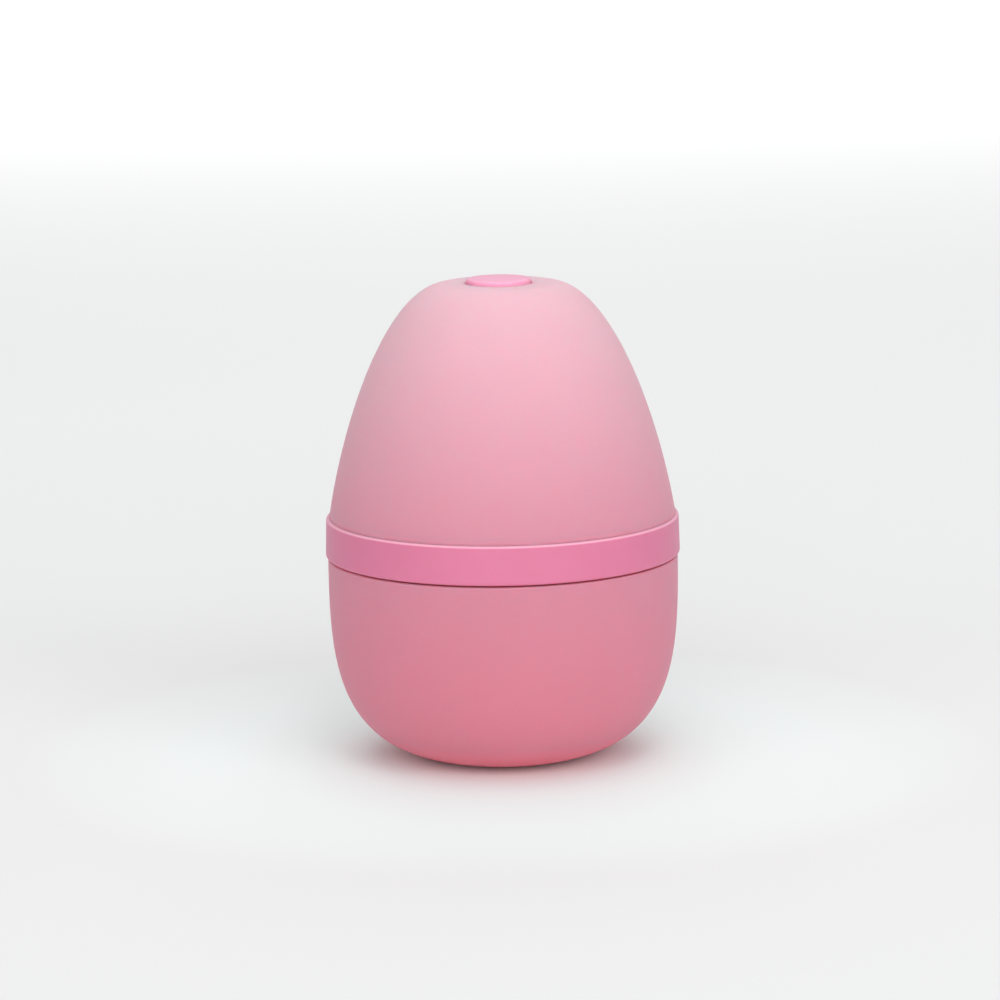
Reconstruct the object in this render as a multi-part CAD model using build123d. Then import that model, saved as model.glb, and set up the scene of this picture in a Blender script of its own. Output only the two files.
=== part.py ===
from build123d import *
import math
import os

# Silicone cupping cup, standing mouth down in its own storage bowl. Together they make an egg.
#
# The bell is the squeeze cup: a soft dome whose open lower end is pressed on the skin. A firm band
# keeps its mouth round. A push valve in the crown lets air back in to release the suction: a button
# carries a stem through a threaded valve body, a spring holds it up, and a soft disc on the stem
# closes the ports from below. The bell's spigot drops into the bowl, which covers the mouth.
#
# Frame: +Z up along the axis of the egg, origin at the middle of the bowl's flat underside.
# Every size is in millimetres.

# Bowl
bowl_rim_radius = 33.6
bowl_rim_height = 39.05
base_flat_radius = 8.0
bowl_wall = 2.2
bowl_floor = 2.6
base_recess_radius = 5.4
base_recess_depth = 0.4
bowl_belly = 1.0  # how far the underside's tangent runs, as a share of the way out to the rim
bowl_shoulder = 0.49  # how far the wall stays upright, as a share of the bowl's height
bowl_rim_round = 0.35

# Firm band round the bell's mouth
rim_gap = 0.35  # open line between the bowl's rim and the band
band_height = 7.4
band_step = 0.42  # how far the band's lower edge stands out past the bowl
band_draft = 0.2  # how much smaller the band's upper edge is
band_thickness = 2.2
band_top_round = 0.45
band_bottom_round = 0.5
rib_height = 2.0
rib_depth = 0.7
snug_clearance = 0.05  # between pieces that are assembled once and then stay put

# Bell
dome_height = 44.7  # from the band's top to the crown
dome_inset = 0.6  # ledge of the band that shows outside the dome
dome_lean = 8.9  # degrees that the dome leans inward where it leaves the band
dome_rise = 0.44  # how far the dome keeps that lean, as a share of its height
dome_spread = 0.463  # how far the crown's tangent runs, as a share of the way out to the band
crown_shoulder = 1.08  # flat of the crown outside the boss
bell_wall = 2.6
crown_wall = 3.0
spigot_clearance = 0.5  # between the spigot and the bowl's socket
spigot_depth = 9.8  # length of the spigot below the band
spigot_wall = 2.4
bead_height = 0.33  # friction bead round the spigot
bead_length = 1.4
bead_below_band = 4.2

# Release button
button_radius = 6.15
button_proud = 0.85  # height of the button's edge above the crown
button_crown = 0.2
button_length = 3.15
button_edge_round = 0.4
button_wall = 1.05
button_top_wall = 1.4
button_boss_wall = 1.0
button_travel = 1.2
button_clearance = 0.12
end_clearance = 0.1  # left under the button when it is fully pressed

# Valve body, clamped through the crown
skin_over_body = 0.85  # silicone that covers the top of the valve body
hole_edge_round = 0.3
sleeve_wall = 1.05
sleeve_floor = 1.0
tube_wall = 0.9
tube_below_boss = 3.1
spring_room = 0.6  # between the spring and the chamber's wall
chamber_floor = 1.7
clamped_thickness = 2.9  # silicone between the sleeve's underside and the washer
boss_wall = 1.85
boss_round = 1.0
vent_slot_width = 1.4
vent_slot_depth = 0.6
vent_count = 4
port_radius = 0.55
seat_radius = 3.2  # middle of the seat's ridge
seat_height = 0.4
seat_foot_width = 0.8
seat_top_width = 0.3

# Washer and nut that clamp the valve body
washer_thickness = 0.7
washer_width = 3.55
nut_thickness = 2.3
nut_wall = 1.65  # from the thread to a flat
nut_chamfer = 0.5

# Stem, spring, sealing disc, backing washer and clip
stem_radius = 0.9
stem_grip = 1.85  # length of stem inside the button
stem_running_clearance = 0.08
stem_tail = 0.5
press_clearance = 0.01
seal_clearance = 0.03
seal_overlap = 1.0  # how far the disc reaches past the middle of the seat
seal_thickness = 1.0
backing_overlap = 0.4
backing_thickness = 0.5
clip_thickness = 0.4
clip_groove_depth = 0.3
clip_width = 1.1
clip_mouth_angle = 80.0
spring_wire_radius = 0.3
spring_mean_radius = 3.0
spring_turns = 6.0

# Heights worked out from the sizes above
band_bottom = bowl_rim_height + rim_gap
band_top = band_bottom + band_height
rib_middle = (band_bottom + band_top) / 2
crown_height = band_top + dome_height
crown_underside = crown_height - crown_wall
sleeve_top = crown_height - skin_over_body
button_edge = crown_height + button_proud
button_bottom = button_edge - button_length
ledge_height = button_bottom - button_travel - end_clearance
pocket_floor = ledge_height - sleeve_floor
boss_bottom = pocket_floor - clamped_thickness
tube_bottom = boss_bottom - tube_below_boss
chamber_bottom = tube_bottom + chamber_floor
button_ceiling = button_edge - button_top_wall
seat_plane = tube_bottom - seat_height
seal_top = seat_plane - seal_clearance
seal_bottom = seal_top - seal_thickness
backing_bottom = seal_bottom - backing_thickness
clip_bottom = backing_bottom - clip_thickness
lip_bottom = band_bottom - spigot_depth

# Radii worked out from the sizes above
socket_radius = bowl_rim_radius - bowl_wall
spigot_radius = socket_radius - spigot_clearance
mouth_radius = spigot_radius - spigot_wall
band_bottom_radius = bowl_rim_radius + band_step
band_top_radius = band_bottom_radius - band_draft
band_bore = band_bottom_radius - band_thickness
band_seat = band_bore - snug_clearance
dome_base_radius = band_top_radius - dome_inset
sleeve_bore = button_radius + button_clearance
sleeve_radius = sleeve_bore + sleeve_wall
pocket_radius = sleeve_radius + snug_clearance
boss_radius = pocket_radius + boss_wall
crown_flat_radius = boss_radius + crown_shoulder
chamber_radius = spring_mean_radius + spring_wire_radius + spring_room
tube_radius = chamber_radius + tube_wall
tube_hole_radius = tube_radius + snug_clearance
washer_radius = tube_hole_radius + washer_width
stem_guide_radius = stem_radius + stem_running_clearance
stem_hole_radius = stem_radius + press_clearance
button_boss_radius = stem_hole_radius + button_boss_wall
seat_inner_radius = seat_radius - seat_foot_width / 2
port_ring_radius = (stem_guide_radius + seat_inner_radius) / 2
seal_radius = seat_radius + seal_overlap
backing_radius = seat_radius + backing_overlap
clip_groove_radius = stem_radius - clip_groove_depth
clip_radius = clip_groove_radius + clip_width

MATCH = 0.01  # how near an edge has to be to the place that names it


def at(radius, height):
    """A point of an outline, which is drawn in the XZ plane."""
    return (radius, 0, height)


def turned(*lines):
    """The solid that a closed outline sweeps round the Z axis."""
    edges = [edge for line in lines for edge in line.edges()]
    return Solid.revolve(Face(Wire.combine(edges)[0]), 360, Axis.Z)


def path(*points):
    """Straight edges through the given (radius, height) points."""
    return Polyline(*[at(radius, height) for radius, height in points])


def turned_polygon(*points):
    return turned(path(*points, points[0]))


def ring(inner, outer, bottom, top):
    return turned_polygon((inner, bottom), (outer, bottom), (outer, top), (inner, top))


def rounded(solid, radius, *places):
    """Rounds the circular edges at the given (radius, height) places."""
    edges = [
        edge
        for edge in solid.edges().filter_by(GeomType.CIRCLE)
        for place_radius, place_height in places
        if abs(edge.radius - place_radius) < MATCH and abs(edge.arc_center.Z - place_height) < MATCH
    ]
    return solid.fillet(radius, edges)


def bowl_curve(flat_radius, bottom, rim_radius):
    """Side of the bowl, from the edge of a level bottom up to the rim."""
    run = bowl_belly * (rim_radius - flat_radius)
    upright = bowl_shoulder * (bowl_rim_height - bottom)
    return Bezier(
        at(flat_radius, bottom),
        at(flat_radius + run, bottom),
        at(rim_radius, bowl_rim_height - upright),
        at(rim_radius, bowl_rim_height),
    )


def make_storage_bowl():
    inside_flat_radius = base_flat_radius - bowl_wall / 2
    solid = turned(
        path(
            (0, bowl_floor),
            (0, base_recess_depth),
            (base_recess_radius, base_recess_depth),
            (base_recess_radius + base_recess_depth, 0),
            (base_flat_radius, 0),
        ),
        bowl_curve(base_flat_radius, 0, bowl_rim_radius),
        path((bowl_rim_radius, bowl_rim_height), (socket_radius, bowl_rim_height)),
        bowl_curve(inside_flat_radius, bowl_floor, socket_radius),
        path((inside_flat_radius, bowl_floor), (0, bowl_floor)),
    )
    rim_edges = [(bowl_rim_radius, bowl_rim_height), (socket_radius, bowl_rim_height)]
    return rounded(solid, bowl_rim_round, *rim_edges)


def dome_controls():
    """Control points of the dome's outside, from the band up to the flat of the crown."""
    lean = math.radians(dome_lean)
    rise = dome_rise * dome_height
    spread = dome_spread * (dome_base_radius - crown_flat_radius)
    return [
        (dome_base_radius, band_top),
        (dome_base_radius - rise * math.sin(lean), band_top + rise * math.cos(lean)),
        (crown_flat_radius + spread, crown_height),
        (crown_flat_radius, crown_height),
    ]


def spigot_lines():
    """Outside of the spigot, from the round of the lip up past the friction bead to the band."""
    lip_round = spigot_wall / 2
    bead_middle = band_bottom - bead_below_band
    bead_bottom = bead_middle - bead_length / 2
    bead_top = bead_middle + bead_length / 2
    lip_arc = ThreePointArc(
        at(mouth_radius, lip_bottom + lip_round),
        at(mouth_radius + lip_round, lip_bottom),
        at(spigot_radius, lip_bottom + lip_round),
    )
    bead_arc = ThreePointArc(
        at(spigot_radius, bead_bottom),
        at(spigot_radius + bead_height, bead_middle),
        at(spigot_radius, bead_top),
    )
    return [
        lip_arc,
        path((spigot_radius, lip_bottom + lip_round), (spigot_radius, bead_bottom)),
        bead_arc,
        path((spigot_radius, bead_top), (spigot_radius, band_bottom)),
    ]


def make_bell():
    outside = dome_controls()
    crown_end = (crown_flat_radius, crown_underside)
    inside = [
        (mouth_radius, band_top),
        (mouth_radius, outside[1][1]),
        (outside[2][0] - bell_wall, crown_underside),
        crown_end,
    ]
    rib = rib_height / 2
    solid = turned(
        *spigot_lines(),
        path(
            (spigot_radius, band_bottom),
            (band_seat, band_bottom),
            (band_seat, rib_middle - rib),
            (band_seat + rib_depth, rib_middle - rib),
            (band_seat + rib_depth, rib_middle + rib),
            (band_seat, rib_middle + rib),
            (band_seat, band_top),
            (dome_base_radius, band_top),
        ),
        Bezier(*[at(*point) for point in outside]),
        path(
            (crown_flat_radius, crown_height),
            (sleeve_bore, crown_height),
            (sleeve_bore, sleeve_top),
            (pocket_radius, sleeve_top),
            (pocket_radius, pocket_floor),
            (tube_hole_radius, pocket_floor),
            (tube_hole_radius, boss_bottom),
            (boss_radius, boss_bottom),
            (boss_radius, crown_underside),
            crown_end,
        ),
        Bezier(*[at(*point) for point in reversed(inside)]),
        path((mouth_radius, band_top), (mouth_radius, lip_bottom + spigot_wall / 2)),
    )
    solid = rounded(solid, hole_edge_round, (sleeve_bore, crown_height))
    corner_round = min(boss_round, 0.9 * crown_shoulder)
    return rounded(solid, corner_round, (boss_radius, crown_underside))


def make_rim_band():
    groove_half = rib_height / 2 + snug_clearance
    groove_radius = band_bore + rib_depth
    solid = turned_polygon(
        (band_bore, band_bottom),
        (band_bottom_radius, band_bottom),
        (band_top_radius, band_top),
        (band_bore, band_top),
        (band_bore, rib_middle + groove_half),
        (groove_radius, rib_middle + groove_half),
        (groove_radius, rib_middle - groove_half),
        (band_bore, rib_middle - groove_half),
    )
    solid = rounded(solid, band_top_round, (band_top_radius, band_top))
    return rounded(solid, band_bottom_round, (band_bottom_radius, band_bottom))


def make_release_button():
    cavity_radius = button_radius - button_wall
    bore_top = button_bottom + stem_grip
    crown_arc = ThreePointArc(
        at(0, button_edge + button_crown),
        at(button_radius / 2, button_edge + 0.75 * button_crown),
        at(button_radius, button_edge),
    )
    solid = turned(
        crown_arc,
        path(
            (button_radius, button_edge),
            (button_radius, button_bottom),
            (cavity_radius, button_bottom),
            (cavity_radius, button_ceiling),
            (button_boss_radius, button_ceiling),
            (button_boss_radius, button_bottom),
            (stem_hole_radius, button_bottom),
            (stem_hole_radius, bore_top),
            (0, bore_top),
            (0, button_edge + button_crown),
        ),
    )
    return rounded(solid, button_edge_round, (button_radius, button_edge))


def make_valve_stem():
    top = button_bottom + stem_grip - press_clearance
    groove_top = backing_bottom
    tip = clip_bottom - stem_tail
    chamfer = stem_radius - clip_groove_radius
    return turned_polygon(
        (0, tip),
        (clip_groove_radius, tip),
        (stem_radius, tip + chamfer),
        (stem_radius, clip_bottom),
        (clip_groove_radius, clip_bottom),
        (clip_groove_radius, groove_top),
        (stem_radius, groove_top),
        (stem_radius, top),
        (0, top),
    )


def make_return_spring():
    """Coil between the chamber's floor and the button's ceiling, its end turns ground flat."""
    length = button_ceiling - chamber_bottom
    pitch = length / spring_turns
    coil = Helix(pitch=pitch, height=length, radius=spring_mean_radius, center=(0, 0, chamber_bottom))
    section = Plane(origin=coil @ 0, z_dir=coil % 0) * Circle(spring_wire_radius)
    wire = sweep(section, path=coil, is_frenet=True)
    room = 4 * spring_mean_radius
    slab = Pos(0, 0, chamber_bottom + length / 2) * Box(room, room, length)
    return wire & slab


def make_valve_body():
    foot = seat_foot_width / 2
    tip = seat_top_width / 2
    solid = turned_polygon(
        (sleeve_bore, sleeve_top),
        (sleeve_radius, sleeve_top),
        (sleeve_radius, pocket_floor),
        (tube_radius, pocket_floor),
        (tube_radius, tube_bottom),
        (seat_radius + foot, tube_bottom),
        (seat_radius + tip, seat_plane),
        (seat_radius - tip, seat_plane),
        (seat_inner_radius, tube_bottom),
        (stem_guide_radius, tube_bottom),
        (stem_guide_radius, chamber_bottom),
        (chamber_radius, chamber_bottom),
        (chamber_radius, ledge_height),
        (sleeve_bore, ledge_height),
    )
    slot = Box(2 * sleeve_radius, vent_slot_width, 2 * vent_slot_depth)
    within_sleeve = Cylinder(sleeve_bore, 2 * vent_slot_depth)
    for pair in range(vent_count // 2):
        turned_slot = Rot(0, 0, 360 * pair / vent_count) * slot
        solid = solid - Pos(0, 0, ledge_height) * (turned_slot & within_sleeve)
    for port in range(vent_count):
        place = Rot(0, 0, 360 * (port + 0.5) / vent_count) * Pos(port_ring_radius, 0, tube_bottom)
        solid = solid - place * Cylinder(port_radius, 4 * chamber_floor)
    return solid


def make_clamp_washer():
    return ring(tube_hole_radius, washer_radius, boss_bottom - washer_thickness, boss_bottom)


def make_clamp_nut():
    """Hexagon nut with its corners turned off at both ends."""
    top = boss_bottom - washer_thickness
    bottom = top - nut_thickness
    corner_radius = (tube_hole_radius + nut_wall) / math.cos(math.pi / 6)
    hexagon = extrude(Pos(0, 0, bottom) * RegularPolygon(corner_radius, 6), nut_thickness)
    turned_blank = turned_polygon(
        (tube_hole_radius, bottom),
        (corner_radius - nut_chamfer, bottom),
        (corner_radius, bottom + nut_chamfer / 2),
        (corner_radius, top - nut_chamfer / 2),
        (corner_radius - nut_chamfer, top),
        (tube_hole_radius, top),
    )
    return hexagon & turned_blank


def make_sealing_disc():
    return ring(stem_hole_radius, seal_radius, seal_bottom, seal_top)


def make_backing_washer():
    return ring(stem_hole_radius, backing_radius, backing_bottom, seal_bottom)


def make_stem_clip():
    """Open ring that snaps into the stem's groove from the side."""
    whole = ring(clip_groove_radius + press_clearance, clip_radius, clip_bottom, backing_bottom)
    half_angle = math.radians(clip_mouth_angle / 2)
    reach = 2 * clip_radius
    mouth_outline = Polyline(
        (0, 0),
        (reach, -reach * math.tan(half_angle)),
        (reach, reach * math.tan(half_angle)),
        close=True,
    )
    mouth = extrude(Pos(0, 0, clip_bottom) * make_face(mouth_outline), clip_thickness)
    return whole - mouth


pieces = {
    "storage_bowl": make_storage_bowl,
    "bell": make_bell,
    "rim_band": make_rim_band,
    "release_button": make_release_button,
    "valve_stem": make_valve_stem,
    "return_spring": make_return_spring,
    "valve_body": make_valve_body,
    "clamp_washer": make_clamp_washer,
    "clamp_nut": make_clamp_nut,
    "sealing_disc": make_sealing_disc,
    "backing_washer": make_backing_washer,
    "stem_clip": make_stem_clip,
}

os.makedirs("parts", exist_ok=True)
for name, make in pieces.items():
    export_step(make(), f"parts/{name}.step")
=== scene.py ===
import math

import bmesh
import bpy
from mathutils import Matrix, Vector, geometry


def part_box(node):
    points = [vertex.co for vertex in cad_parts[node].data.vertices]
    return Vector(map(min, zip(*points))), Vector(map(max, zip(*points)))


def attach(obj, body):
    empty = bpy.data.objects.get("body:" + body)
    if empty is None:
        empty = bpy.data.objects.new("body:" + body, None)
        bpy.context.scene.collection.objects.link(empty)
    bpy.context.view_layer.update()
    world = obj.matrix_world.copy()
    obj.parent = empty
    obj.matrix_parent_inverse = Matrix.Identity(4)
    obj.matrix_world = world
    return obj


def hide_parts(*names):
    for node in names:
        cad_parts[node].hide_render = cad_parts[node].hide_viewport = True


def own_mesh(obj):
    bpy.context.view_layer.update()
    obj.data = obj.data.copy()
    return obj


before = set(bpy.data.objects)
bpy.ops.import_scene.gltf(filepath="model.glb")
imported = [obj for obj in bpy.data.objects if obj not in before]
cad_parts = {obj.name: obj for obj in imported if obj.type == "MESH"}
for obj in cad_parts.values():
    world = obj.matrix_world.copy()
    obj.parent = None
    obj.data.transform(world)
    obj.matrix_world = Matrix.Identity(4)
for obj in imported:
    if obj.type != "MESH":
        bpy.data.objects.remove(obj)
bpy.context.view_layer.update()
mm = 0.001
print("frame loaded:", len(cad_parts), "CAD nodes")


# sizes read off the frame

bandLow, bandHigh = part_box("rim_band")
bellLow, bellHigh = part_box("bell")
buttonLow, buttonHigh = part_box("release_button")
springLow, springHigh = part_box("return_spring")
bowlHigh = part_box("storage_bowl")[1]
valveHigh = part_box("valve_body")[1]
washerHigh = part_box("clamp_washer")[1]


# camera

view = {
    "distance": 800 * mm,  # level distance from the egg's axis
    "height": 193.7 * mm,
    "aimHeight": 49.5 * mm,
    "sideways": -0.4 * mm,
    "roll": 0.92,  # degrees
    "lens": 152.5,
    "sensor": 36.0,
    "clipStart": 10 * mm,
}


def placeCamera():
    lens = bpy.data.cameras.new("productLens")
    lens.lens = view["lens"]
    lens.sensor_width = view["sensor"]
    lens.clip_start = view["clipStart"]
    eye = Vector((view["sideways"], -view["distance"], view["height"]))
    aim = Vector((view["sideways"], 0, view["aimHeight"]))
    look = (aim - eye).to_track_quat("-Z", "Y").to_matrix()
    tilt = Matrix.Rotation(math.radians(-view["roll"]), 3, "Z")
    camera = bpy.data.objects.new("productCamera", lens)
    camera.matrix_world = Matrix.Translation(eye) @ (look @ tilt).to_4x4()
    bpy.context.scene.collection.objects.link(camera)
    bpy.context.scene.camera = camera


placeCamera()
bpy.context.scene.view_settings.view_transform = "Standard"
print("camera placed")


# node helpers

def addNode(tree, kind, values=None, **settings):
    made = tree.nodes.new(kind)
    for name, value in settings.items():
        setattr(made, name, value)
    for name, value in (values or {}).items():
        made.inputs[name].default_value = value
    return made


def wire(tree, source, output, target, socket):
    tree.links.new(source.outputs[output], target.inputs[socket])


def linear(red, green, blue):
    return [((c + 0.055) / 1.055) ** 2.4 if c > 0.04045 else c / 12.92 for c in (red, green, blue)] + [1]


# materials

def startMaterial(name):
    made = bpy.data.materials.new(name)
    made.use_nodes = True
    tree = made.node_tree
    tree.nodes.clear()
    output = addNode(tree, "ShaderNodeOutputMaterial")
    shader = addNode(tree, "ShaderNodeBsdfPrincipled")
    wire(tree, shader, "BSDF", output, "Surface")
    place = addNode(tree, "ShaderNodeTexCoord")
    return made, tree, shader, place


noise = {
    "softClouds": {"Detail": 3.0},
    "clouds": {"Detail": 3.0, "Roughness": 0.55},
    "cloudSpread": (0.3, 0.7),  # the deep tint ends at the first and the pale one starts at the second
    "patches": {"Detail": 4.0},
    "grain": {"Detail": 5.0, "Roughness": 0.6},
}


def noiseAt(tree, place, scale, values):
    made = addNode(tree, "ShaderNodeTexNoise", {"Scale": scale, **values})
    wire(tree, place, "Object", made, "Vector")
    return made


def cloudyColour(tree, place, look):
    clouds = noiseAt(tree, place, look["cloudScale"], noise["clouds"])
    ramp = addNode(tree, "ShaderNodeValToRGB")
    stops = ramp.color_ramp.elements
    for index, tint in enumerate(("deep", "pale")):
        stops[index].position = noise["cloudSpread"][index]
        stops[index].color = look[tint]
    wire(tree, clouds, "Fac", ramp, "Fac")
    return ramp


def variedRoughness(tree, place, shader, look):
    patches = noiseAt(tree, place, look["patchScale"], noise["patches"])
    smooth, rough = look["roughness"]
    spread = addNode(tree, "ShaderNodeMapRange", {"To Min": smooth, "To Max": rough})
    wire(tree, patches, "Fac", spread, "Value")
    wire(tree, spread, "Result", shader, "Roughness")


def grainBump(tree, place, shader, look):
    grain = noiseAt(tree, place, look["grainScale"], noise["grain"])
    values = {"Strength": look["grainStrength"], "Distance": look["grainDepth"]}
    bump = addNode(tree, "ShaderNodeBump", values)
    wire(tree, grain, "Fac", bump, "Height")
    wire(tree, bump, "Normal", shader, "Normal")


def finishSurface(tree, place, shader, look):
    variedRoughness(tree, place, shader, look)
    grainBump(tree, place, shader, look)
    for socket, value in look["sockets"].items():
        shader.inputs[socket].default_value = value


def shareAlong(tree, place, axis, start, end):
    # rises from 0 at start to 1 at end, in either direction
    parts = addNode(tree, "ShaderNodeSeparateXYZ")
    wire(tree, place, "Object", parts, "Vector")
    share = addNode(tree, "ShaderNodeMapRange", {"From Min": start, "From Max": end})
    wire(tree, parts, axis, share, "Value")
    return share


def axisDistance(tree, place):
    flat = addNode(tree, "ShaderNodeVectorMath", {1: (1, 1, 0)}, operation="MULTIPLY")
    wire(tree, place, "Object", flat, 0)
    away = addNode(tree, "ShaderNodeVectorMath", operation="LENGTH")
    wire(tree, flat, "Vector", away, 0)
    return away


def shareAway(tree, place, start, end):
    share = addNode(tree, "ShaderNodeMapRange", {"From Min": start, "From Max": end})
    wire(tree, axisDistance(tree, place), "Value", share, "Value")
    return share


def blendTint(tree, colour, share, output, tint):
    mix = addNode(tree, "ShaderNodeMixRGB", {"Color2": tint})
    wire(tree, share, output, mix, "Fac")
    wire(tree, colour, "Color", mix, "Color1")
    return mix


def bothShares(tree, first, second):
    share = addNode(tree, "ShaderNodeMath", operation="MULTIPLY")
    wire(tree, first, "Result", share, 0)
    wire(tree, second, "Value", share, 1)
    return share


# silicone of the bowl and the bell: painted light and shade by height, deepest at the base and palest at the
# crown where the top light falls

silicone = {
    # painted glow: a hot red at the very foot, up to footShare of the height, standing in for light through
    # the wall by the floor
    "foot": linear(0.970, 0.450, 0.520),
    "base": linear(0.806, 0.485, 0.553),
    "waist": linear(0.788, 0.524, 0.594),
    "crown": linear(0.861, 0.692, 0.738),
    "paintedGapGlow": linear(0.990, 0.430, 0.500),  # painted glow: the red of light through the thin wall, painted into the gap under the band
    "paintedCreaseGlow": linear(0.925, 0.535, 0.605),  # painted glow over the shade in the crease where the dome meets the band and round the button's hole
    "height": 92 * mm,
    "footShare": 0.07,
    "waistShare": 0.45,
    "gapGlowFade": 0.02 * mm,
    "rimClear": 0.06 * mm,  # keeps the painted glow of the gap off the bowl's rim
    "creaseGlowHalf": 0.05 * mm,
    "creaseGlowFade": 0.9 * mm,
    "outsideFrom": 30 * mm,  # the painted glows of the gap and the crease go on the outer walls alone
    "cloudTint": 0.97,
    "cloudScale": 70.0,
    "roughness": (0.50, 0.60),
    "patchScale": 240.0,
    "grainScale": 3200.0,
    "grainDepth": 0.03 * mm,
    "grainStrength": 0.25,
    "sockets": {
        "Subsurface Weight": 0.9,
        "Subsurface Radius": (1.0, 0.28, 0.33),
        "Subsurface Scale": 4.0 * mm,
        "IOR": 1.41,
        "Specular IOR Level": 0.12,
    },
}


# painted light and shade: the colour ramps from the foot through the base and waist to the crown
def paintedLightByHeight(tree, place):
    share = shareAlong(tree, place, "Z", 0, silicone["height"])
    ramp = addNode(tree, "ShaderNodeValToRGB")
    stops = ramp.color_ramp.elements
    stops[0].color = silicone["foot"]
    stops[1].color = silicone["crown"]
    stops.new(silicone["footShare"]).color = silicone["base"]
    stops.new(silicone["waistShare"]).color = silicone["waist"]
    wire(tree, share, "Result", ramp, "Fac")
    return ramp


def paintedGlowBand(tree, place, colour, middle, half, fade, tint):
    # the painted glow holds within half of the middle height and fades out beyond it
    parts = addNode(tree, "ShaderNodeSeparateXYZ")
    wire(tree, place, "Object", parts, "Vector")
    offset = addNode(tree, "ShaderNodeMath", {1: middle}, operation="SUBTRACT")
    wire(tree, parts, "Z", offset, 0)
    size = addNode(tree, "ShaderNodeMath", operation="ABSOLUTE")
    wire(tree, offset, "Value", size, 0)
    near = addNode(tree, "ShaderNodeMapRange", {"From Min": half + fade, "From Max": half})
    wire(tree, size, "Value", near, "Value")
    outside = addNode(tree, "ShaderNodeMath", {1: silicone["outsideFrom"]}, operation="GREATER_THAN")
    wire(tree, axisDistance(tree, place), "Value", outside, 0)
    return blendTint(tree, colour, bothShares(tree, near, outside), "Value", tint)


# painted glow over the shade round the button's hole
def paintedHoleGlow(tree, place, colour):
    near = shareAway(tree, place, buttonHigh.x + silicone["creaseGlowFade"], buttonHigh.x)
    parts = addNode(tree, "ShaderNodeSeparateXYZ")
    wire(tree, place, "Object", parts, "Vector")
    onCrown = addNode(tree, "ShaderNodeMath", {1: valveHigh.z}, operation="GREATER_THAN")
    wire(tree, parts, "Z", onCrown, 0)
    return blendTint(tree, colour, bothShares(tree, near, onCrown), "Value", silicone["paintedCreaseGlow"])


def makeSilicone():
    made, tree, shader, place = startMaterial("palePinkSilicone")
    gapMiddle = (bowlHigh.z + bandLow.z) / 2
    gapHalf = (bandLow.z - bowlHigh.z) / 2 - silicone["rimClear"]
    colour = paintedHoleGlow(tree, place, paintedLightByHeight(tree, place))
    # painted glow in the gap under the band and over the shaded crease above it
    for middle, half, fade, tint in (
        (gapMiddle, gapHalf, silicone["gapGlowFade"], silicone["paintedGapGlow"]),
        (bandHigh.z, silicone["creaseGlowHalf"], silicone["creaseGlowFade"], silicone["paintedCreaseGlow"]),
    ):
        colour = paintedGlowBand(tree, place, colour, middle, half, fade, tint)
    clouds = noiseAt(tree, place, silicone["cloudScale"], noise["softClouds"])
    shade = addNode(tree, "ShaderNodeMapRange", {"To Min": silicone["cloudTint"], "To Max": 1.0})
    wire(tree, clouds, "Fac", shade, "Value")
    clouded = addNode(tree, "ShaderNodeVectorMath", operation="SCALE")
    wire(tree, colour, "Color", clouded, "Vector")
    wire(tree, shade, "Result", clouded, "Scale")
    wire(tree, clouded, "Vector", shader, "Base Color")
    finishSurface(tree, place, shader, silicone)
    return made


# the other finishes

firmPink = {
    "cloudScale": 90.0,
    "roughness": (0.36, 0.44),
    "patchScale": 300.0,
    "grainScale": 4200.0,
    "grainDepth": 0.015 * mm,
    "grainStrength": 0.2,
    "sockets": {
        "Subsurface Weight": 0.35,
        "Subsurface Radius": (1.0, 0.3, 0.4),
        "Subsurface Scale": 1.5 * mm,
        "IOR": 1.46,
        "Specular IOR Level": 0.3,
    },
}

bandPink = {
    **firmPink,
    "pale": linear(0.808, 0.462, 0.586),
    "deep": linear(0.796, 0.452, 0.575),
    "edges": (  # height where the tint starts, height where it is full, and the tint: a painted highlight along the top edge and a painted red glow of the gap along the bottom
        (bandHigh.z - 0.42 * mm, bandHigh.z - 0.2 * mm, linear(0.890, 0.640, 0.725)),
        (bandLow.z + 0.2 * mm, bandLow.z + 0.05 * mm, linear(0.900, 0.420, 0.520)),
    ),
}

buttonPink = {
    **firmPink,
    "pale": linear(0.940, 0.655, 0.765),
    "deep": linear(0.930, 0.645, 0.755),
    "edges": (),
}

offWhite = {
    "pale": linear(0.93, 0.92, 0.89),
    "deep": linear(0.90, 0.89, 0.86),
    "edges": (),
    "cloudScale": 160.0,
    "roughness": (0.32, 0.44),
    "patchScale": 500.0,
    "grainScale": 3000.0,
    "grainDepth": 0.01 * mm,
    "grainStrength": 0.15,
    "sockets": {
        "Subsurface Weight": 0.2,
        "Subsurface Radius": (1.0, 0.9, 0.8),
        "Subsurface Scale": 0.8 * mm,
    },
}

sealGrey = {
    "pale": linear(0.34, 0.33, 0.33),
    "deep": linear(0.28, 0.27, 0.27),
    "edges": (),
    "cloudScale": 400.0,
    "roughness": (0.62, 0.78),
    "patchScale": 700.0,
    "grainScale": 5000.0,
    "grainDepth": 0.02 * mm,
    "grainStrength": 0.4,
    "sockets": {},
}

brightSteel = {
    "pale": linear(0.80, 0.80, 0.79),
    "deep": linear(0.70, 0.70, 0.69),
    "edges": (),
    "cloudScale": 900.0,
    "roughness": (0.18, 0.34),
    "patchScale": 1500.0,
    "grainScale": 6000.0,
    "grainDepth": 0.005 * mm,
    "grainStrength": 0.2,
    "sockets": {"Metallic": 1.0},
}


def makeFinish(name, look):
    made, tree, shader, place = startMaterial(name)
    colour = cloudyColour(tree, place, look)
    # painted highlight and painted glow along the band's edges
    for start, full, tint in look["edges"]:
        share = shareAlong(tree, place, "Z", start, full)
        colour = blendTint(tree, colour, share, "Result", tint)
    wire(tree, colour, "Color", shader, "Base Color")
    finishSurface(tree, place, shader, look)
    return made


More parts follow.
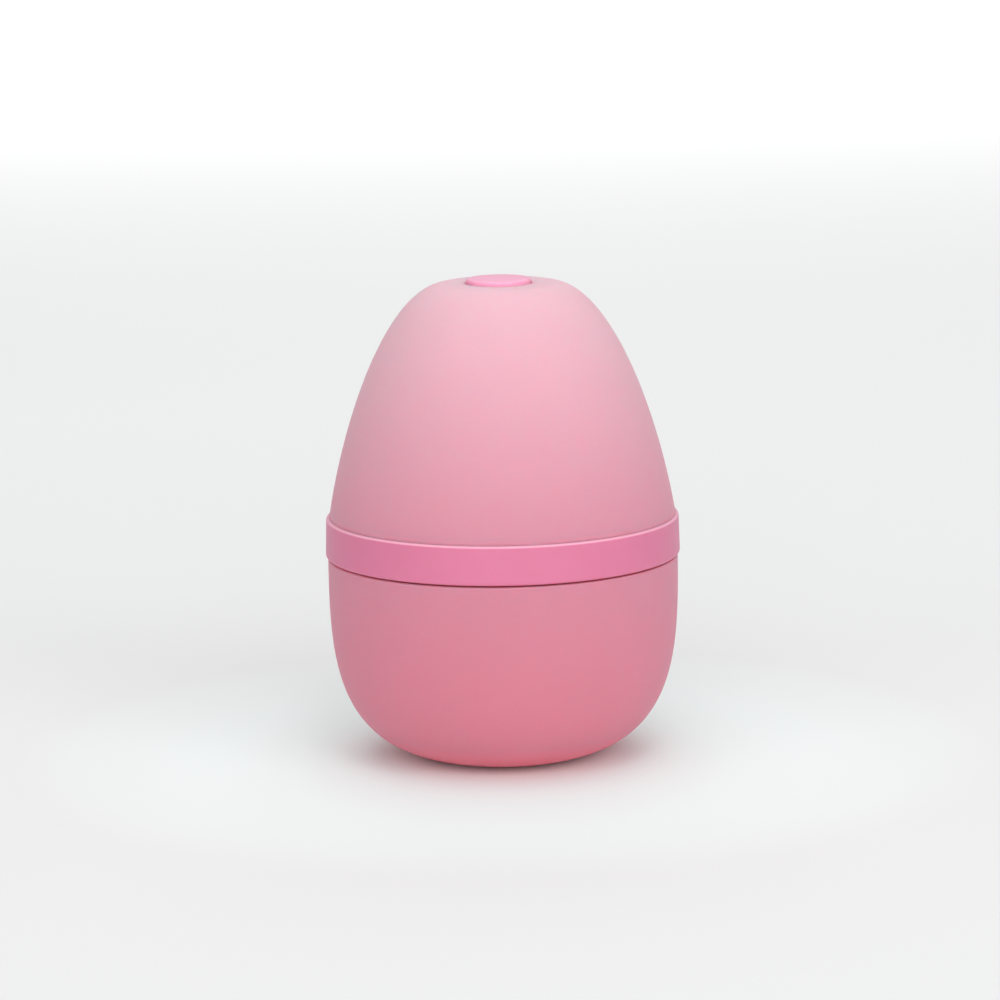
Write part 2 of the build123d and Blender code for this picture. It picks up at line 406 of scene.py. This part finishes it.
siliconeSkin = makeSilicone()
firmPlastic = makeFinish("firmPinkPlastic", bandPink)
buttonPlastic = makeFinish("buttonPinkPlastic", buttonPink)
valvePlastic = makeFinish("offWhiteValvePlastic", offWhite)
sealRubber = makeFinish("greySealRubber", sealGrey)
drawnSteel = makeFinish("drawnSteel", brightSteel)
print("materials made")


# turned pieces: an outline in radius and height, swept round the egg's axis by Geometry Nodes

outline = {
    "ringRadius": 1.0,
    "weld": 0.001 * mm,
    "bendStep": 0.9 * mm,
    "roundSteps": 7,
    "support": 0.15 * mm,  # points this near the ends of a straight run keep the shading flat between them
    "shortRun": 0.6 * mm,  # a straight run under this gets none
}


def lathe():
    tree = bpy.data.node_groups.new("turnedPiece", "GeometryNodeTree")
    face = tree.interface
    face.new_socket("Geometry", in_out="INPUT", socket_type="NodeSocketGeometry")
    face.new_socket("Outline", in_out="INPUT", socket_type="NodeSocketObject")
    face.new_socket("Sides", in_out="INPUT", socket_type="NodeSocketInt")
    face.new_socket("Finish", in_out="INPUT", socket_type="NodeSocketMaterial")
    face.new_socket("Geometry", in_out="OUTPUT", socket_type="NodeSocketGeometry")
    start = addNode(tree, "NodeGroupInput")
    end = addNode(tree, "NodeGroupOutput")
    read = addNode(tree, "GeometryNodeObjectInfo")
    ring = addNode(tree, "GeometryNodeCurvePrimitiveCircle", {"Radius": outline["ringRadius"]})
    upright = addNode(tree, "GeometryNodeSetCurveNormal", mode="Z_UP")
    sweep = addNode(tree, "GeometryNodeCurveToMesh")
    weld = addNode(tree, "GeometryNodeMergeByDistance", {"Distance": outline["weld"]})
    smooth = addNode(tree, "GeometryNodeSetShadeSmooth")
    real = addNode(tree, "GeometryNodeRealizeInstances")
    finish = addNode(tree, "GeometryNodeSetMaterial")
    wire(tree, start, "Outline", read, "Object")
    wire(tree, start, "Sides", ring, "Resolution")
    wire(tree, ring, "Curve", upright, "Curve")
    wire(tree, upright, "Curve", sweep, "Curve")
    wire(tree, read, "Geometry", sweep, "Profile Curve")
    wire(tree, sweep, "Mesh", weld, "Geometry")
    wire(tree, weld, "Geometry", smooth, "Geometry")
    wire(tree, smooth, "Geometry", real, "Geometry")
    wire(tree, real, "Geometry", finish, "Geometry")
    wire(tree, start, "Finish", finish, "Material")
    wire(tree, finish, "Geometry", end, "Geometry")
    return tree


def setInputs(modifier, values):
    for item in modifier.node_group.interface.items_tree:
        if item.item_type == "SOCKET" and item.in_out == "INPUT" and item.name in values:
            modifier[item.identifier] = values[item.name]


def grownMesh(name, tree, values, finish):
    host = bpy.data.objects.new(name, bpy.data.meshes.new(name + "Seed"))
    bpy.context.scene.collection.objects.link(host)
    modifier = host.modifiers.new("grow", "NODES")
    modifier.node_group = tree
    setInputs(modifier, values)
    bpy.context.view_layer.update()
    whole = host.evaluated_get(bpy.context.evaluated_depsgraph_get())
    mesh = bpy.data.meshes.new_from_object(whole)
    host.modifiers.remove(modifier)
    seed = host.data
    host.data = mesh
    bpy.data.meshes.remove(seed)
    mesh.name = name
    mesh.materials.clear()
    mesh.materials.append(finish)
    faceOutwards(mesh)
    return host


def faceOutwards(mesh):
    work = bmesh.new()
    work.from_mesh(mesh)
    bmesh.ops.recalc_face_normals(work, faces=work.faces)
    if work.calc_volume(signed=True) < 0:
        bmesh.ops.reverse_faces(work, faces=work.faces)
    work.to_mesh(mesh)
    work.free()


def stop(radius, height, rounding=0.0, bend=None):
    return {"at": Vector((radius, height)), "round": rounding, "bend": bend}


handleReach = 4 / 3  # a cubic goes three quarters of the way to its handles


def knotsOf(stops, closed):
    knots = []
    count = len(stops)
    for index, here in enumerate(stops):
        before, after = stops[index - 1], stops[(index + 1) % count]
        point = here["at"]
        cameFrom = Vector(before["bend"][1]) if before["bend"] else before["at"]
        goesTo = Vector(here["bend"][0]) if here["bend"] else after["at"]
        isEnd = not closed and index in (0, count - 1)
        if isEnd or here["round"] == 0:
            leftHandle = cameFrom if before["bend"] and index else point
            rightHandle = goesTo if here["bend"] else point
            knots.append((point, leftHandle, rightHandle))
            continue
        inward = (point - cameFrom).normalized()
        outward = (goesTo - point).normalized()
        turn = inward.angle(outward)
        reach = here["round"] * math.tan(turn / 2)
        pull = here["round"] * handleReach * math.tan(turn / 4)
        first, last = point - inward * reach, point + outward * reach
        knots.append((first, cameFrom if before["bend"] else first, first + inward * pull))
        knots.append((last, last - outward * pull, goesTo if here["bend"] else last))
    return knots


def runPoints(here, leaving, arriving, there):
    length = (there - here).length
    isStraight = leaving == here and arriving == there
    if not isStraight:
        steps = max(outline["roundSteps"], math.ceil(length / outline["bendStep"]))
        return geometry.interpolate_bezier(here, leaving, arriving, there, steps + 1)[:-1]
    if length < outline["shortRun"]:
        return [here]
    share = outline["support"] / length
    return [here, here.lerp(there, share), here.lerp(there, 1 - share)]


def drawOutline(name, stops, closed):
    knots = knotsOf(stops, closed)
    pairs = list(zip(knots, knots[1:] + knots[:1]))
    if not closed:
        pairs.pop()
    points = [point for here, there in pairs for point in runPoints(here[0], here[2], there[1], there[0])]
    if not closed:
        points.append(knots[-1][0])
    curve = bpy.data.curves.new(name + "Outline", "CURVE")
    curve.dimensions = "3D"
    spline = curve.splines.new("POLY")
    spline.points.add(len(points) - 1)
    spline.use_cyclic_u = closed
    for placed, point in zip(spline.points, points):
        # on the ring a profile's X runs outwards and its Y downwards
        placed.co = (point.x - outline["ringRadius"], -point.y, 0, 1)
    drawn = bpy.data.objects.new(name + "Outline", curve)
    bpy.context.scene.collection.objects.link(drawn)
    return drawn


latheTree = lathe()


def turnPiece(name, stops, finish, sides, closed=True):
    drawn = drawOutline(name, stops, closed)
    piece = grownMesh(name, latheTree, {"Outline": drawn, "Sides": sides, "Finish": finish}, finish)
    curve = drawn.data
    bpy.data.objects.remove(drawn)
    bpy.data.curves.remove(curve)
    return piece


# storage bowl

bowl = {
    "wall": 2.2 * mm,
    "floor": 2.6 * mm,
    "flatRadius": 8.0 * mm,
    "recessRadius": 5.4 * mm,
    "recessDepth": 0.4 * mm,
    "belly": 1.0,  # how far the curve leaves the foot and the rim, as shares of its width and height
    "shoulder": 0.49,
    "rimRound": 0.35 * mm,
    "recessRound": 0.3 * mm,
    "sides": 192,
}


def bowlBend(flat, bottom, rim, top):
    run = bowl["belly"] * (rim - flat)
    upright = bowl["shoulder"] * (top - bottom)
    return (flat + run, bottom), (rim, top - upright)


def makeBowl():
    rim, top = bowlHigh.x, bowlHigh.z
    socket = rim - bowl["wall"]
    flat, insideFlat = bowl["flatRadius"], bowl["flatRadius"] - bowl["wall"] / 2
    recess, depth, floor = bowl["recessRadius"], bowl["recessDepth"], bowl["floor"]
    outer = bowlBend(flat, 0, rim, top)
    inner = bowlBend(insideFlat, floor, socket, top)
    stops = [
        stop(0, depth),
        stop(recess, depth, bowl["recessRound"]),
        stop(recess + depth, 0, bowl["recessRound"]),
        stop(flat, 0, bend=outer),
        stop(rim, top, bowl["rimRound"]),
        stop(socket, top, bowl["rimRound"], bend=(inner[1], inner[0])),
        stop(insideFlat, floor),
        stop(0, floor),
    ]
    return turnPiece("bowlShell", stops, siliconeSkin, bowl["sides"], closed=False)


bowlShell = makeBowl()
print("bowl turned:", len(bowlShell.data.polygons), "faces")


# radii that the pieces share, outwards from the mouth

rimRadius = bowlHigh.x
socketRadius = rimRadius - bowl["wall"]
snugGap = 0.05 * mm  # between pieces that are put together once

band = {
    "step": 0.42 * mm,  # how far it stands out past the bowl
    "draft": 0.2 * mm,
    "thickness": 2.2 * mm,
    "ribHeight": 2.0 * mm,
    "ribDepth": 0.7 * mm,
    "topRound": 0.45 * mm,
    "bottomRound": 0.5 * mm,
    "innerRound": 0.12 * mm,
    "sides": 224,
}
bandFoot = rimRadius + band["step"]
bandBore = bandFoot - band["thickness"]
bandTopRadius = bandFoot - band["draft"]
ribMiddle = (bandLow.z + bandHigh.z) / 2


# bell

bell = {
    "inset": 0.6 * mm,  # ledge of the band that shows outside the dome
    "lean": 8.9,  # degrees off upright, at the foot of the dome
    "rise": 0.44,  # how far the curve leaves the foot and the crown, as shares of its height and width
    "spread": 0.463,
    "wall": 2.6 * mm,
    "crownWall": 3.0 * mm,
    "crownShoulder": 1.08 * mm,
    "bossWall": 1.85 * mm,
    "bossRound": 0.97 * mm,
    "tubeHole": 4.85 * mm,
    "ledgeDrop": 3.75 * mm,  # from the top of the valve body to the ledge that it sits on
    "buttonGap": 0.12 * mm,
    "holeRound": 0.12 * mm,
    "spigotGap": 0.5 * mm,
    "spigotWall": 2.4 * mm,
    "beadHeight": 0.33 * mm,
    "beadLength": 1.4 * mm,
    "beadBelowBand": 4.2 * mm,
    "edgeRound": 0.15 * mm,
    "footRound": 0.05 * mm,  # where the dome sits on the band
    "pocketRound": 0.05 * mm,
    "lipShare": 0.49,  # of the spigot's wall
    "beadSoft": 0.15,  # of the bead's length
    "sides": 192,
}


def spigotStops(spigot, mouth):
    lip = bell["lipShare"] * bell["spigotWall"]
    beadLow = bandLow.z - bell["beadBelowBand"] - bell["beadLength"] / 2
    beadTop = beadLow + bell["beadLength"]
    swell = spigot + bell["beadHeight"] * handleReach
    soft = bell["beadSoft"] * bell["beadLength"]
    return [
        stop(mouth, bellLow.z, lip),
        stop(spigot, bellLow.z, lip),
        stop(spigot, beadLow, bend=((swell, beadLow + soft), (swell, beadTop - soft))),
        stop(spigot, beadTop),
        stop(spigot, bandLow.z, bell["edgeRound"]),
    ]


def ribStops(seat, edge):
    low, high = ribMiddle - band["ribHeight"] / 2, ribMiddle + band["ribHeight"] / 2
    return [
        stop(seat, bandLow.z, edge),
        stop(seat, low, edge),
        stop(seat + band["ribDepth"], low, edge),
        stop(seat + band["ribDepth"], high, edge),
        stop(seat, high, edge),
        stop(seat, bandHigh.z, edge),
    ]


def makeBell():
    spigot = socketRadius - bell["spigotGap"]
    mouth = spigot - bell["spigotWall"]
    base, crown = bandTopRadius - bell["inset"], bellHigh.z
    pocket = valveHigh.x + snugGap
    hole = buttonHigh.x + bell["buttonGap"]
    boss = pocket + bell["bossWall"]
    flat = boss + bell["crownShoulder"]
    underside = crown - bell["crownWall"]
    ledge = valveHigh.z - bell["ledgeDrop"]
    rise = bell["rise"] * (crown - bandHigh.z)
    lean = math.radians(bell["lean"])
    upright = (base - rise * math.sin(lean), bandHigh.z + rise * math.cos(lean))
    level = (flat + bell["spread"] * (base - flat), crown)
    edge = bell["edgeRound"]
    stops = [
        *spigotStops(spigot, mouth),
        *ribStops(bandBore - snugGap, edge),
        stop(base, bandHigh.z, bell["footRound"], bend=(upright, level)),
        stop(flat, crown),
        stop(hole, crown, bell["holeRound"]),
        stop(hole, valveHigh.z, bell["pocketRound"]),
        stop(pocket, valveHigh.z, bell["pocketRound"]),
        stop(pocket, ledge, edge),
        stop(bell["tubeHole"], ledge, edge),
        stop(bell["tubeHole"], washerHigh.z, edge),
        stop(boss, washerHigh.z, 2 * edge),
        stop(boss, underside, bell["bossRound"]),
        stop(flat, underside, bend=((level[0] - bell["wall"], underside), (mouth, upright[1]))),
        stop(mouth, bandHigh.z),
    ]
    return turnPiece("bellShell", stops, siliconeSkin, bell["sides"])


bellShell = makeBell()
print("bell turned:", len(bellShell.data.polygons), "faces")


# firm band round the mouth

def makeBand():
    groove = band["ribHeight"] / 2 + snugGap
    depth = bandBore + band["ribDepth"]
    edge = band["innerRound"]
    stops = [
        stop(bandBore, bandLow.z, edge),
        stop(bandFoot, bandLow.z, band["bottomRound"]),
        stop(bandTopRadius, bandHigh.z, band["topRound"]),
        stop(bandBore, bandHigh.z, edge),
        stop(bandBore, ribMiddle + groove, edge),
        stop(depth, ribMiddle + groove, edge),
        stop(depth, ribMiddle - groove, edge),
        stop(bandBore, ribMiddle - groove, edge),
    ]
    return turnPiece("mouthBand", stops, firmPlastic, band["sides"])


mouthBand = makeBand()
print("band turned:", len(mouthBand.data.polygons), "faces")


# release button

button = {
    "crown": 0.2 * mm,
    "wall": 1.05 * mm,
    "topWall": 1.4 * mm,
    "bossRadius": 1.91 * mm,
    "stemHole": 0.91 * mm,
    "stemGrip": 1.85 * mm,
    "edgeRound": 0.4 * mm,
    "smallRound": 0.12 * mm,
    "sides": 128,
}


def makeButton():
    radius, bottom, top = buttonHigh.x, buttonLow.z, buttonHigh.z
    edge = top - button["crown"]
    cavity, ceiling = radius - button["wall"], edge - button["topWall"]
    small = button["smallRound"]
    gripTop = bottom + button["stemGrip"]
    stops = [
        stop(0, top, bend=((radius / 3, top), (radius * 2 / 3, top - button["crown"] / 3))),
        stop(radius, edge, button["edgeRound"]),
        stop(radius, bottom, small),
        stop(cavity, bottom, small),
        stop(cavity, ceiling, small),
        stop(button["bossRadius"], ceiling, small),
        stop(button["bossRadius"], bottom, small),
        stop(button["stemHole"], bottom, small / 2),
        stop(button["stemHole"], gripTop),
        stop(0, gripTop),
    ]
    return turnPiece("pushButton", stops, buttonPlastic, button["sides"], closed=False)


pushButton = makeButton()
print("button turned:", len(pushButton.data.polygons), "faces")


# return spring: closed end turns, with the pitch in the turns between them

spring = {
    "wireRadius": 0.3 * mm,
    "turns": 6.0,
    "closedTurns": 0.8,
    "pointsPerTurn": 40,
    "wireSides": 14,
}


def coilTree():
    tree = bpy.data.node_groups.new("coilSpring", "GeometryNodeTree")
    face = tree.interface
    face.new_socket("Geometry", in_out="INPUT", socket_type="NodeSocketGeometry")
    for name in ("Mean Radius", "Wire Radius", "Bottom", "Top", "Turns", "Closed Share"):
        face.new_socket(name, in_out="INPUT", socket_type="NodeSocketFloat")
    for name in ("Points", "Wire Sides"):
        face.new_socket(name, in_out="INPUT", socket_type="NodeSocketInt")
    face.new_socket("Finish", in_out="INPUT", socket_type="NodeSocketMaterial")
    face.new_socket("Geometry", in_out="OUTPUT", socket_type="NodeSocketGeometry")
    start = addNode(tree, "NodeGroupInput")
    end = addNode(tree, "NodeGroupOutput")
    line = addNode(tree, "GeometryNodeCurvePrimitiveLine")
    cut = addNode(tree, "GeometryNodeResampleCurve")
    share = addNode(tree, "GeometryNodeSplineParameter")
    angle = addNode(tree, "ShaderNodeMath", operation="MULTIPLY")
    radians = addNode(tree, "ShaderNodeMath", {1: math.tau}, operation="MULTIPLY")
    cosine = addNode(tree, "ShaderNodeMath", operation="COSINE")
    sine = addNode(tree, "ShaderNodeMath", operation="SINE")
    across = addNode(tree, "ShaderNodeMath", operation="MULTIPLY")
    along = addNode(tree, "ShaderNodeMath", operation="MULTIPLY")
    endShare = addNode(tree, "ShaderNodeMath", {0: 1.0}, operation="SUBTRACT")
    lowest = addNode(tree, "ShaderNodeMath", operation="ADD")
    highest = addNode(tree, "ShaderNodeMath", operation="SUBTRACT")
    height = addNode(tree, "ShaderNodeMapRange")
    place = addNode(tree, "ShaderNodeCombineXYZ")
    move = addNode(tree, "GeometryNodeSetPosition")
    section = addNode(tree, "GeometryNodeCurvePrimitiveCircle")
    sweep = addNode(tree, "GeometryNodeCurveToMesh", {"Fill Caps": True})
    smooth = addNode(tree, "GeometryNodeSetShadeSmooth")
    real = addNode(tree, "GeometryNodeRealizeInstances")
    finish = addNode(tree, "GeometryNodeSetMaterial")
    for source, output, target, socket in (
        (line, "Curve", cut, "Curve"),
        (start, "Points", cut, "Count"),
        (share, "Factor", angle, 0),
        (start, "Turns", angle, 1),
        (angle, 0, radians, 0),
        (radians, 0, cosine, 0),
        (radians, 0, sine, 0),
        (cosine, 0, across, 0),
        (start, "Mean Radius", across, 1),
        (sine, 0, along, 0),
        (start, "Mean Radius", along, 1),
        (start, "Closed Share", endShare, 1),
        (start, "Bottom", lowest, 0),
        (start, "Wire Radius", lowest, 1),
        (start, "Top", highest, 0),
        (start, "Wire Radius", highest, 1),
        (share, "Factor", height, "Value"),
        (start, "Closed Share", height, "From Min"),
        (endShare, 0, height, "From Max"),
        (lowest, 0, height, "To Min"),
        (highest, 0, height, "To Max"),
        (across, 0, place, "X"),
        (along, 0, place, "Y"),
        (height, "Result", place, "Z"),
        (cut, "Curve", move, "Geometry"),
        (place, "Vector", move, "Position"),
        (move, "Geometry", sweep, "Curve"),
        (start, "Wire Sides", section, "Resolution"),
        (start, "Wire Radius", section, "Radius"),
        (section, "Curve", sweep, "Profile Curve"),
        (sweep, "Mesh", smooth, "Geometry"),
        (smooth, "Geometry", real, "Geometry"),
        (real, "Geometry", finish, "Geometry"),
        (start, "Finish", finish, "Material"),
        (finish, "Geometry", end, "Geometry"),
    ):
        wire(tree, source, output, target, socket)
    return tree


def makeSpring():
    values = {
        "Mean Radius": springHigh.x - spring["wireRadius"],
        "Wire Radius": spring["wireRadius"],
        "Bottom": springLow.z,
        "Top": springHigh.z,
        "Turns": spring["turns"],
        "Closed Share": spring["closedTurns"] / spring["turns"],
        "Points": int(spring["turns"] * spring["pointsPerTurn"]) + 1,
        "Wire Sides": spring["wireSides"],
        "Finish": drawnSteel,
    }
    return grownMesh("coilSpring", coilTree(), values, drawnSteel)


coilSpring = makeSpring()
print("spring coiled:", len(coilSpring.data.polygons), "faces")


# lights and floor

studio = {
    "worldStrength": 0.45,
    "floorNear": (0.755, 0.76, 0.76, 1),
    "floorMiddle": (0.87, 0.875, 0.875, 1),
    "floorFar": (0.98, 0.98, 0.98, 1),
    "paintedBounceCancel": (0.83, 0.92, 0.905, 1),
    "nearFrom": -0.2,  # where the floor has its three tints along Y: painted shade near the camera, painted light towards the back
    "middleAt": 0.42,
    "farFrom": 1.9,
    "underFrom": 35 * mm,  # from the axis; within this ring the floor is painted greener to take the pink bounce light out of the cup's shadow
    "underTo": 95 * mm,
    "floorHalf": 5.0,
    "floorRoughness": 0.9,
    "worldColour": (1, 1, 1, 1),
    "aim": (0, 0, 50 * mm),  # of a softbox that names no other
    "spread": 180,
}

softboxes = [
    {"name": "farBehind", "at": (0, 2.3, 1.2), "size": 2.0, "power": 6.6, "aim": (0, 2.3, 0), "spread": 100},
    {"name": "behind", "at": (0, 1.9, 1.3), "size": 1.6, "power": 8.0, "aim": (0, 1.7, 0)},
    {"name": "overhead", "at": (0, 0.1, 1.2), "size": 1.2, "power": 4.5},
    {"name": "keyTop", "at": (0.1, -0.55, 0.9), "size": 0.22, "power": 0.5},
    {"name": "frontHigh", "at": (0, -1.5, 0.8), "size": 1.2, "power": 9.5},
    {"name": "frontLow", "at": (0, -1.5, 0.35), "size": 0.9, "power": 3.0},
    {"name": "frontLeft", "at": (-0.9, -1.1, 0.6), "size": 0.8, "power": 3.2},
    {"name": "frontRight", "at": (0.9, -1.1, 0.6), "size": 0.8, "power": 6.4},
]


def addSoftbox(box):
    lamp = bpy.data.lights.new(box["name"], "AREA")
    lamp.shape = "SQUARE"
    lamp.size = box["size"]
    lamp.energy = box["power"]
    lamp.spread = math.radians(box.get("spread", studio["spread"]))
    placed = bpy.data.objects.new(box["name"], lamp)
    spot = Vector(box["at"])
    aim = Vector(box.get("aim", studio["aim"])) - spot
    placed.matrix_world = Matrix.Translation(spot) @ aim.to_track_quat("-Z", "Y").to_matrix().to_4x4()
    bpy.context.scene.collection.objects.link(placed)


def makeWorld():
    world = bpy.data.worlds.new("studioWorld")
    world.use_nodes = True
    bpy.context.scene.world = world
    back = world.node_tree.nodes["Background"]
    back.inputs["Color"].default_value = studio["worldColour"]
    back.inputs["Strength"].default_value = studio["worldStrength"]


def makeFloor():
    made, tree, shader, place = startMaterial("paleFloor")
    # painted light and shade: the floor is darker near the camera and lighter towards the back
    share = shareAlong(tree, place, "Y", studio["nearFrom"], studio["farFrom"])
    ramp = addNode(tree, "ShaderNodeValToRGB")
    stops = ramp.color_ramp.elements
    stops[0].color = studio["floorNear"]
    stops[1].color = studio["floorFar"]
    middle = (studio["middleAt"] - studio["nearFrom"]) / (studio["farFrom"] - studio["nearFrom"])
    stops.new(middle).color = studio["floorMiddle"]
    wire(tree, share, "Result", ramp, "Fac")
    # painted shade: a greener tint round the cup cancels the pink bounce light in its shadow
    under = shareAway(tree, place, studio["underTo"], studio["underFrom"])
    colour = blendTint(tree, ramp, under, "Result", studio["paintedBounceCancel"])
    wire(tree, colour, "Color", shader, "Base Color")
    shader.inputs["Roughness"].default_value = studio["floorRoughness"]
    shader.inputs["Specular IOR Level"].default_value = 0.0  # matte paper
    mesh = bpy.data.meshes.new("floor")
    work = bmesh.new()
    bmesh.ops.create_grid(work, x_segments=1, y_segments=1, size=studio["floorHalf"])
    work.to_mesh(mesh)
    work.free()
    mesh.materials.append(made)
    floor = bpy.data.objects.new("floor", mesh)
    bpy.context.scene.collection.objects.link(floor)


for box in softboxes:
    addSoftbox(box)
makeWorld()
makeFloor()
print("studio lit")


# CAD pieces that keep their shape

keptFinishes = {
    "valve_body": valvePlastic,
    "clamp_washer": valvePlastic,
    "clamp_nut": valvePlastic,
    "sealing_disc": sealRubber,
    "valve_stem": drawnSteel,
    "backing_washer": drawnSteel,
    "stem_clip": drawnSteel,
}
for node, finish in keptFinishes.items():
    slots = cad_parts[node].data.materials
    slots.clear()
    slots.append(finish)


# what rides on what

for piece, body, node, slotName in (
    (bowlShell, "bowl", "storage_bowl", "silicone"),
    (bellShell, "cup", "bell", "silicone"),
    (mouthBand, "cup", "rim_band", "firm_pink"),
    (pushButton, "button", "release_button", "firm_pink"),
    (coilSpring, "cup", "return_spring", "steel"),
):
    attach(piece, body)
    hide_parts(node)

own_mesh(coilSpring)
